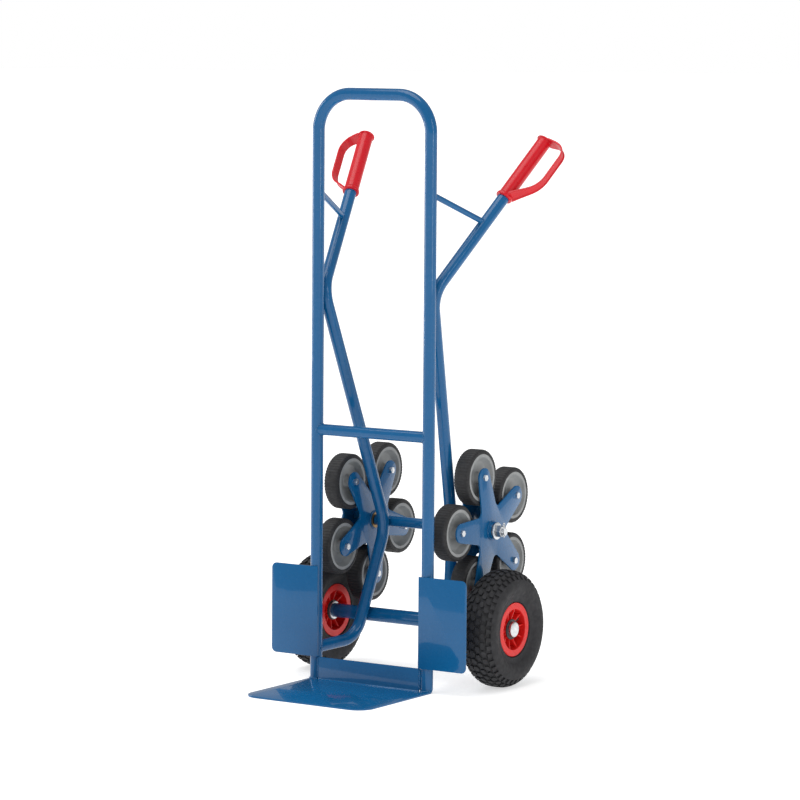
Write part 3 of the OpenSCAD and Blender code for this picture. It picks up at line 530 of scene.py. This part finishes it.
for sign, side in ((1, "right"), (-1, "left")):
    bm = bmesh.new()
    edge = 1.2 * MM
    section = [(0, 0), (COLLAR_R - edge, 0), (COLLAR_R, edge), (COLLAR_R, 6 * MM), (GRIP_R, 10 * MM),
               (GRIP_R, GRIP_L - GRIP_TOP), (COLLAR_R, GRIP_L - GRIP_TOP), (COLLAR_R, GRIP_L - edge),
               (COLLAR_R - edge, GRIP_L), (0, GRIP_L)]
    verts = [bmesh.ops.create_vert(bm, co=(r, 0, z))["vert"][0] for r, z in section]
    edges = [bm.edges.new(pair) for pair in zip(verts, verts[1:])]
    bmesh.ops.spin(bm, geom=verts + edges, cent=(0, 0, 0), axis=(0, 0, 1), angle=math.tau, steps=64,
                   use_merge=True, use_duplicate=False)
    sleeve = set(bm.verts)
    line = [Vector((d, 0, h)) * MM for d, h in STRAP_LINE]
    way = (line[1] - line[0]).normalized()
    across = Vector((0, 1, 0))
    thick = way.cross(across)
    rail = [(-1, -0.5), (1, -0.5), (1, 0.5), (0.76, 0.5), (0.66, 0), (-0.66, 0), (-0.76, 0.5), (-1, 0.5)]
    start = [bmesh.ops.create_vert(bm, co=line[0] + across * w * STRAP_HALF - thick * t * STRAP_T)["vert"][0]
             for w, t in rail]
    first = ring = [bm.edges.new(pair) for pair in zip(start, start[1:] + start[:1])]
    here = line[0]
    for before, corner, after, bend_r in zip(line, line[1:], line[2:], STRAP_BENDS):
        into, out = (corner - before).normalized(), (after - corner).normalized()
        turn = into.angle(out)
        reach = bend_r * MM * math.tan(turn / 2)
        for part in range(8):
            ring = push(bm, ring, (corner - into * reach - here) / 8)
        inward = (out - into * into.dot(out)).normalized()
        ring = bend_round(bm, ring, corner - into * reach + inward * bend_r * MM,
                          into.cross(out).normalized(), turn, 8)
        here = corner + out * reach
    for part in range(4):
        ring = push(bm, ring, (line[-1] - here) / 4)
    bmesh.ops.contextual_create(bm, geom=first)
    bmesh.ops.contextual_create(bm, geom=ring)
    for v in set(bm.verts) - sleeve:
        v.co.y *= strap_half_width(v.co.x) / STRAP_HALF
    bmesh.ops.transform(bm, matrix=grip_matrix(sign), verts=bm.verts[:])
    grip = fit_piece(bm, f"grip_{side}_moulded", grip_red, "chassis", [f"grip_{side}"], 180)
    remesh = grip.modifiers.new("moulding", "REMESH")
    remesh.mode = "VOXEL"
    remesh.voxel_size = 0.75 * MM
    remesh.use_smooth_shade = True
    smooth = grip.modifiers.new("fillets", "SMOOTH")
    smooth.factor = 0.5
    smooth.iterations = 3

# ---------------------------------------------------------------------------------------------
# Main axle fittings: zinc-plated steel washers inside each wheel, a rod through both wheels and
# a rounded cap pressed on each end of it.
# ---------------------------------------------------------------------------------------------
zinc, tree, shader, place = new_paint("zinc_plate", (0.66, 0.68, 0.70))
mottle(tree, shader, place, 90, 4, (0.56, 0.58, 0.60), (0.74, 0.75, 0.76))
shader.inputs["Metallic"].default_value = 1
sheen(tree, shader, place, 260, 4, 0.24, 0.42)
relief(tree, shader, speckle(tree, place, 900, 3), 0.0001, 0.2)


def dress(node, finish):
    """Gives a carried-over part its finish and joins its loose triangles, with slightly worn edges."""
    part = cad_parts[node]
    part.data.materials.clear()
    part.data.materials.append(finish)
    weld = part.modifiers.new("join", "WELD")
    weld.merge_threshold = 0.00002
    bevel = part.modifiers.new("edges", "BEVEL")
    bevel.width = 0.35 * MM
    bevel.segments = 2
    bevel.limit_method = "ANGLE"
    bevel.angle_limit = math.radians(40)


dress("main_axle_rod", zinc)
dress("star_axle_rod", zinc)
for name, centre, start, end, outside_r, bore_r in (("axle_washers", AXLE, 208.7, 211.7, 20, 10.1),
                                                    ("star_washers", STAR_AXLE, 192.1, 195.1, 19, 8.1)):
    bm = bmesh.new()
    for sign in (1, -1):
        ends = sorted((sign * start, sign * end))
        turned(bm, ring_section(bore_r, outside_r, ends[0], ends[1], 0.4), centre)
    fit_piece(bm, f"{name}_turned", zinc, "chassis", [name])
bm = bmesh.new()
cap_section = [(10.1, 262.3), (16.7, 262.3), (17, 262.6), (17, 268.0), (16.7, 269.2), (15.8, 270.0),
               (14.6, 270.3), (0, 270.3), (0, 268.3), (10.1, 268.3)]
for sign in (1, -1):
    turned(bm, [(r, sign * x) for r, x in cap_section], AXLE)
fit_piece(bm, "axle_caps_pressed", zinc, "chassis", ["axle_caps"])

# ---------------------------------------------------------------------------------------------
# Main wheel rims: red moulded plastic, with a flanged barrel, a middle web and ten ribs on each
# side. Black bushes in the hub run on the axle rod.
# ---------------------------------------------------------------------------------------------
WHEEL_X = 237
RIB_COUNT = 10
VALVE_TURN = math.radians(24)

rim_red, tree, shader, place = new_paint("rim_red_plastic", (0.72, 0.014, 0.012))
shader.inputs["Specular IOR Level"].default_value = 0.35
mottle(tree, shader, place, 30, 3, (0.70, 0.012, 0.010), (0.76, 0.017, 0.015))
sheen(tree, shader, place, 150, 4, 0.34, 0.48)
relief(tree, shader, speckle(tree, place, 1200, 2), 0.0001, 0.08)

bush_black, tree, shader, place = new_paint("bush_black_plastic", (0.022, 0.022, 0.024))
sheen(tree, shader, place, 200, 4, 0.38, 0.55)
mottle(tree, shader, place, 70, 3, (0.018, 0.018, 0.020), (0.030, 0.030, 0.032))

valve_black, tree, shader, place = new_paint("valve_rubber", (0.02, 0.02, 0.02))
sheen(tree, shader, place, 220, 4, 0.55, 0.75)
mottle(tree, shader, place, 90, 3, (0.016, 0.016, 0.016), (0.03, 0.03, 0.03))

half_rim = [(15.05, 22), (21.4, 22), (22, 21.4), (22, 5), (24.5, 2.5), (42.5, 2.5), (45, 5), (45, 31),
            (45.6, 31.5), (58.9, 31.5), (59.5, 30.9), (59.5, 28.1), (58.9, 27.5), (51.5, 27.5), (50, 26)]
for sign, side in ((1, "right"), (-1, "left")):
    centre = AXLE + Vector((sign * WHEEL_X * MM, 0, 0))
    bm = bmesh.new()
    turned(bm, half_rim + [(r, -x) for r, x in reversed(half_rim)], centre, 96)
    for face_side in (1, -1):
        for i in range(RIB_COUNT):
            rib = bmesh.new()
            grid = bmesh.ops.create_grid(rib, x_segments=1, y_segments=1, size=1)["verts"]
            for v in grid:
                r, x = (21.6, 20.5) if v.co.x < 0 else (45.4, 26.5)
                v.co = Vector((face_side * (x if v.co.y > 0 else 2), r, 0)) * MM
            bmesh.ops.recalc_face_normals(rib, faces=rib.faces[:])
            bmesh.ops.solidify(rib, geom=rib.faces[:], thickness=3 * MM)
            shift = sum((v.co.z for v in rib.verts)) / len(rib.verts)
            bmesh.ops.translate(rib, vec=(0, 0, -shift), verts=rib.verts[:])
            soften(rib, 0.5 * MM)
            turn = math.tau * (i + 0.5) / RIB_COUNT + VALVE_TURN
            bmesh.ops.rotate(rib, cent=(0, 0, 0), matrix=Matrix.Rotation(turn, 3, "X"), verts=rib.verts[:])
            bmesh.ops.translate(rib, vec=centre, verts=rib.verts[:])
            piece = bpy.data.meshes.new("rib")
            rib.to_mesh(piece)
            rib.free()
            bm.from_mesh(piece)
            bpy.data.meshes.remove(piece)
    fit_piece(bm, f"rim_{side}_moulded", rim_red, f"main_wheel_{side}", [f"rim_{side}"])
    bm = bmesh.new()
    for face_side in (1, -1):
        flange = [(10.05, 2), (14.9, 2), (14.9, 22), (22, 22), (22.5, 22.5), (22.5, 24.4), (21.9, 25),
                  (10.05, 25)]
        turned(bm, [(r, face_side * x) for r, x in flange], centre)
    fit_piece(bm, f"rim_bushes_{side}_turned", bush_black, f"main_wheel_{side}",
              [f"rim_bushes_{side}"])
    dress(f"valve_{side}", valve_black)
    dress(f"inner_tube_{side}", valve_black)

# ---------------------------------------------------------------------------------------------
# Main tyres: pneumatic, dark grey rubber, with smooth sidewalls and a coarse block tread. The
# blocks stand 4 mm above the casing, in staggered rows with lugs on both shoulders.
# ---------------------------------------------------------------------------------------------
PITCHES = 40
CASE_R = 30
BLOCK_H = 4
WALL_R = CASE_R + BLOCK_H
CROWN_R = 96
CROWN_HALF = 8.5
BEVEL_SHARE = 0.9
SUNK = 1.5
MOULD_LINE = 9

tyre_black, tree, shader, place = new_paint("tyre_rubber", (0.028, 0.028, 0.030))
mottle(tree, shader, place, 35, 5, (0.009, 0.009, 0.011), (0.018, 0.018, 0.021))
sheen(tree, shader, place, 120, 4, 0.62, 0.82)
relief(tree, shader, speckle(tree, place, 1400, 4), 0.0003, 0.3)


def on_casing(around, across, height):
    """A point of the tread, from its turn about the axle, its way across and its height, in mm."""
    over = max(0, abs(across) - CROWN_HALF) / WALL_R
    r = CROWN_R + (CASE_R + height) * math.cos(over)
    x = math.copysign(min(abs(across), CROWN_HALF) + (CASE_R + height) * math.sin(over), across)
    return Vector((x, r * math.cos(around), r * math.sin(around)))


def tread_block(bm, outline):
    """Raises one tread block from an outline given as parts of a pitch and millimetres across the crown."""
    verts = [bmesh.ops.create_vert(bm, co=(s, w, -SUNK))["vert"][0] for s, w in outline]
    face = bm.faces.new(verts)
    top = bmesh.ops.extrude_face_region(bm, geom=[face])["geom"]
    tops = only(bmesh.types.BMVert, top)
    bmesh.ops.translate(bm, vec=(0, 0, SUNK + BLOCK_H), verts=tops)
    mid = sum((v.co.xy for v in tops), Vector((0, 0))) / len(tops)
    for v in tops:
        v.co.xy = mid + (v.co.xy - mid) * BEVEL_SHARE
    return set(verts) | set(tops)


tread_rows = [[(-0.36, -5.5), (0.0, -7), (0.36, -1.5), (0.36, 5.5), (0.0, 7), (-0.36, 1.5)],
              [(0.10, 9), (0.48, 8), (0.80, 12), (0.80, 18.5), (0.48, 20), (0.10, 16)],
              [(-0.40, -9), (-0.02, -8), (0.30, -12), (0.30, -18.5), (-0.02, -20), (-0.40, -16)],
              [(-0.34, 22), (0.04, 21), (0.34, 24.5), (0.34, 31), (0.04, 32.5), (-0.34, 28.5)],
              [(0.16, -22), (0.54, -21), (0.84, -24.5), (0.84, -31), (0.54, -32.5), (0.16, -28.5)],
              [(0.14, 34.5), (0.82, 33.5), (0.70, 48), (0.26, 48)],
              [(-0.34, -34.5), (0.34, -33.5), (0.22, -48), (-0.22, -48)]]


def on_arc(middle, radius, degrees):
    """The points of an arc, as distance from the axle and place along it, in mm."""
    turns = [math.radians(a) for a in degrees]
    return [(middle[0] + radius * math.cos(a), middle[1] + radius * math.sin(a)) for a in turns]


casing = [(51.5, 27.3), (60, 27.3), (62.5, 33)]
casing += on_arc((CROWN_R, CROWN_HALF), WALL_R, [*range(130, 66, -4), 64])
casing += on_arc((CROWN_R, CROWN_HALF), CASE_R, range(60, -1, -6))
casing[MOULD_LINE] = (casing[MOULD_LINE][0] - 0.4, casing[MOULD_LINE][1])
inside = [(51.5, 20.3), (60.5, 20.3)] + on_arc((91, 7.5), 27, range(150, -1, -15))
for sign, side in ((1, "right"), (-1, "left")):
    centre = AXLE + Vector((sign * WHEEL_X * MM, 0, 0))
    outer = casing + [(r, -x) for r, x in reversed(casing)]
    inner = inside + [(r, -x) for r, x in reversed(inside)]
    bm = bmesh.new()
    turned(bm, outer + list(reversed(inner)), centre, 120)
    for pitch in range(PITCHES):
        for outline in tread_rows:
            for v in tread_block(bm, outline):
                around = math.tau * (pitch + v.co.x) / PITCHES
                v.co = centre + on_casing(around, v.co.y, v.co.z) * MM
    fit_piece(bm, f"tyre_{side}_treaded", tyre_black, f"main_wheel_{side}",
              [f"tyre_{side}"], 32)

# ---------------------------------------------------------------------------------------------
# Stars: on each side two five-armed steel plates, coated blue and welded to a hub tube that turns
# on bronze bushes. A castle nut with a split pin keeps each star on its axle. The plates are
# drawn whole, without the bore for the hub and without bolt holes.
# ---------------------------------------------------------------------------------------------
STAR_X = 155.8
ARM_L = 124.4
ARM_END_R = 22
VALLEY_R = 13
VALLEY_REACH = 72
STAR_GAP = 42
STAR_T = 4
STAR_HUB_R = 19
STAR_HUB_BORE_R = 14.05
STAR_HUB_IN = 27.5
STAR_HUB_OUT = 34
STAR_TURN = {"right": math.radians(33), "left": math.radians(59)}

bronze, tree, shader, place = new_paint("bush_bronze", (0.24, 0.16, 0.075))
shader.inputs["Metallic"].default_value = 1
mottle(tree, shader, place, 160, 4, (0.20, 0.13, 0.06), (0.29, 0.19, 0.09))
sheen(tree, shader, place, 300, 3, 0.30, 0.46)


def star_point(sign, along, x, turn):
    """A place on a star, from its distance from the hub, its place along the hub and its turn, in mm."""
    return STAR_AXLE + Vector((sign * (STAR_X + x), along * math.cos(turn), along * math.sin(turn))) * MM


half_pitch = math.radians(36)
valley = Vector((math.cos(half_pitch), math.sin(half_pitch))) * VALLEY_REACH
to_valley = valley - Vector((ARM_L, 0))
edge_turn = math.atan2(to_valley.y, to_valley.x) - math.acos((ARM_END_R + VALLEY_R) / to_valley.length)
arm_arcs = ((Vector((ARM_L, 0)), -edge_turn, ARM_END_R, 2 * edge_turn, 20),
            (valley, edge_turn + math.pi, VALLEY_R, 2 * (half_pitch - edge_turn), 12))
for sign, side in ((1, "right"), (-1, "left")):
    body = f"star_{side}"
    bm = bmesh.new()
    for face_x in (STAR_GAP / 2, -STAR_GAP / 2 - STAR_T):
        plate = bmesh.new()
        outline = []
        for k in range(5):
            for middle, start, radius, swing, steps in arm_arcs:
                turn = Matrix.Rotation(math.tau / 5 * k, 2)
                centre = turn @ middle
                first = turn @ (middle + Vector((math.cos(start), math.sin(start))) * radius)
                seed = bmesh.ops.create_vert(plate, co=(0, first.x, first.y))["vert"]
                bmesh.ops.spin(plate, geom=seed, cent=(0, centre.x, centre.y), axis=(1, 0, 0), angle=swing,
                               steps=steps, use_merge=False, use_duplicate=False)
                plate.verts.ensure_lookup_table()
                outline.append((seed[0], plate.verts[-1]))
        for (_, end), (start, _) in zip(outline, outline[1:] + outline[:1]):
            if (end.co - start.co).length > 0.001:
                plate.edges.new((end, start))
        bmesh.ops.remove_doubles(plate, verts=plate.verts[:], dist=0.001)
        bmesh.ops.contextual_create(plate, geom=plate.edges[:])
        top = bmesh.ops.extrude_face_region(plate, geom=plate.faces[:])["geom"]
        bmesh.ops.translate(plate, vec=(STAR_T, 0, 0), verts=only(bmesh.types.BMVert, top))
        bmesh.ops.recalc_face_normals(plate, faces=plate.faces[:])
        soften(plate, 0.5)
        for v in plate.verts:
            x, y, z = v.co
            turned_by = STAR_TURN[side]
            v.co = STAR_AXLE + Vector((sign * (STAR_X + face_x + x),
                                       y * math.cos(turned_by) - z * math.sin(turned_by),
                                       y * math.sin(turned_by) + z * math.cos(turned_by))) * MM
        piece = bpy.data.meshes.new("plate")
        plate.to_mesh(piece)
        plate.free()
        bm.from_mesh(piece)
        bpy.data.meshes.remove(piece)
    fit_piece(bm, f"star_plates_{side}_coated", blue_coat, body, [f"star_plates_{side}"])

    bm = bmesh.new()
    ends = sorted((sign * (STAR_X - STAR_HUB_IN), sign * (STAR_X + STAR_HUB_OUT)))
    turned(bm, ring_section(STAR_HUB_BORE_R, STAR_HUB_R, ends[0], ends[1], 0.6), STAR_AXLE)
    fit_piece(bm, f"star_hub_{side}_coated", blue_coat, body, [f"star_hub_{side}"])
    for face_x in (STAR_GAP / 2 + STAR_T + 0.6, -STAR_GAP / 2 - STAR_T - 0.6):
        hub_line = [star_point(sign, STAR_HUB_R + 0.5, face_x, math.tau * i / 40) for i in range(40)]
        weld_bead(hub_line, body, True, 2 * MM)
    dress(f"star_bushes_{side}", bronze)
    dress(f"star_bolts_{side}", zinc)
    dress(f"star_sleeves_{side}", zinc)
dress("star_nuts", zinc)
dress("split_pins", zinc)

# ---------------------------------------------------------------------------------------------
# Small wheels: five to a star, each a light grey dished rim with a solid black tread moulded on.
# The treads have fine cross ribs and rounded shoulders.
# ---------------------------------------------------------------------------------------------
RIB_STEPS = 216

grey_moulded, tree, shader, place = new_paint("small_rim_grey_plastic", (0.27, 0.28, 0.28))
mottle(tree, shader, place, 45, 3, (0.24, 0.25, 0.25), (0.31, 0.32, 0.32))
sheen(tree, shader, place, 160, 4, 0.36, 0.52)
relief(tree, shader, speckle(tree, place, 1300, 3), 0.0002, 0.2)

small_black, tree, shader, place = new_paint("small_tread_rubber", (0.012, 0.012, 0.013))
mottle(tree, shader, place, 50, 4, (0.010, 0.010, 0.011), (0.018, 0.018, 0.020))
sheen(tree, shader, place, 140, 4, 0.55, 0.75)
relief(tree, shader, speckle(tree, place, 1400, 4), 0.0003, 0.25)

rim_half = [(52.5, 18), (46.1, 18), (45.5, 17.4), (44.5, 14), (43.4, 12.6), (39.5, 5.5), (37.5, 4.4),
            (15.5, 2.6), (13.2, 4.0), (12.5, 5.5), (11.9, 20.1), (11.3, 20.7), (6.55, 20.7)]
tread_half = [(52.5, 18.5), (57.0, 18.5), (59.2, 18.0), (61.0, 16.8), (62.1, 15.2), (62.5, 13.2), (62.5, 6)]
for sign, side in ((1, "right"), (-1, "left")):
    for k in range(1, 6):
        turn = STAR_TURN[side] + math.tau / 5 * (k - 1)
        centre = star_point(sign, ARM_L, 0, turn)
        body = f"small_wheel_{side}_{k}"
        bm = bmesh.new()
        turned(bm, rim_half + [(r, -x) for r, x in reversed(rim_half)], centre, 72)
        fit_piece(bm, f"small_rim_{side}_{k}_moulded", grey_moulded, body,
                  [f"small_rim_{side}_{k}"])
        bm = bmesh.new()
        turned(bm, tread_half + [(r, -x) for r, x in reversed(tread_half)], centre, RIB_STEPS)
        for v in bm.verts:
            place_in = v.co - centre
            r = math.hypot(place_in.y, place_in.z)
            step = round(math.atan2(place_in.z, place_in.y) / math.tau * RIB_STEPS) % 4
            if r > 58.5 * MM and step >= 2:
                squeeze = 1 - 0.9 * MM / r
                v.co = centre + Vector((place_in.x, place_in.y * squeeze, place_in.z * squeeze))
        fit_piece(bm, f"small_tread_{side}_{k}_moulded", small_black, body,
                  [f"small_tread_{side}_{k}"], 30)

# ---------------------------------------------------------------------------------------------
# Camera, lights and floor: a pale seamless floor, a wide overhead sun and two tall strip lights
# that draw a soft line of light down every tube. The sky is white to the camera, dimmer as light.
# ---------------------------------------------------------------------------------------------
scene = bpy.context.scene
scene.view_settings.view_transform = "Standard"
AZIMUTH, PITCH, ROLL = math.radians(33.148), math.radians(5.762), math.radians(0.402)
TARGET = Vector((0.071236, 0.015, 0.638777))
DISTANCE = 8.2912
back = Vector((math.sin(AZIMUTH) * math.cos(PITCH), -math.cos(AZIMUTH) * math.cos(PITCH), math.sin(PITCH)))
camera = bpy.data.objects.new("camera", bpy.data.cameras.new("camera"))
scene.collection.objects.link(camera)
scene.camera = camera
camera.data.lens = 171.29
camera.data.sensor_width = 36
camera.data.clip_end = 100
camera.location = TARGET + back * DISTANCE
aim = (-back).to_track_quat("-Z", "Y").to_matrix().to_4x4()
camera.matrix_world = Matrix.Translation(camera.location) @ aim @ Matrix.Rotation(ROLL, 4, "Z")

bm = bmesh.new()
bmesh.ops.create_grid(bm, x_segments=1, y_segments=1, size=400)
floor_mesh = bpy.data.meshes.new("floor")
bm.to_mesh(floor_mesh)
bm.free()
floor = bpy.data.objects.new("floor", floor_mesh)
scene.collection.objects.link(floor)
pale, tree, shader, place = new_paint("pale_floor", (0.8, 0.8, 0.8))
shader.inputs["Roughness"].default_value = 0.7
shader.inputs["Specular IOR Level"].default_value = 0.15
shader.inputs["Emission Color"].default_value = (1, 1, 1, 1)
shader.inputs["Emission Strength"].default_value = 0.55
floor_mesh.materials.append(pale)

world = bpy.data.worlds.new("studio")
scene.world = world
world.use_nodes = True
sky = world.node_tree.nodes["Background"]
sky.inputs["Color"].default_value = (1, 1, 1, 1)
seen = world.node_tree.nodes.new("ShaderNodeLightPath")
share = world.node_tree.nodes.new("ShaderNodeMapRange")
share.inputs["To Min"].default_value = 0.45
share.inputs["To Max"].default_value = 1
world.node_tree.links.new(seen.outputs["Is Camera Ray"], share.inputs["Value"])
world.node_tree.links.new(share.outputs["Result"], sky.inputs["Strength"])


def studio_light(name, kind, place_at, look_at, energy):
    """A studio light that faces a point."""
    light = bpy.data.lights.new(name, kind)
    light.energy = energy
    lamp = bpy.data.objects.new(name, light)
    scene.collection.objects.link(lamp)
    lamp.location = place_at
    lamp.rotation_mode = "QUATERNION"
    lamp.rotation_quaternion = (Vector(look_at) - Vector(place_at)).to_track_quat("-Z", "Y")
    return light


overhead = studio_light("overhead", "SUN", (-0.8, -1.2, 5), (0, 0, 0), 1.7)
overhead.angle = math.radians(50)
for name, place_at, width, power in (("left", (-4.2, -0.7, 1.6), 0.7, 46),
                                     ("right", (3.9, -1.0, 1.9), 0.5, 26)):
    strip = studio_light(name, "AREA", place_at, (0, 0, 0.7), power)
    strip.shape = "RECTANGLE"
    strip.size, strip.size_y = width, 2.6
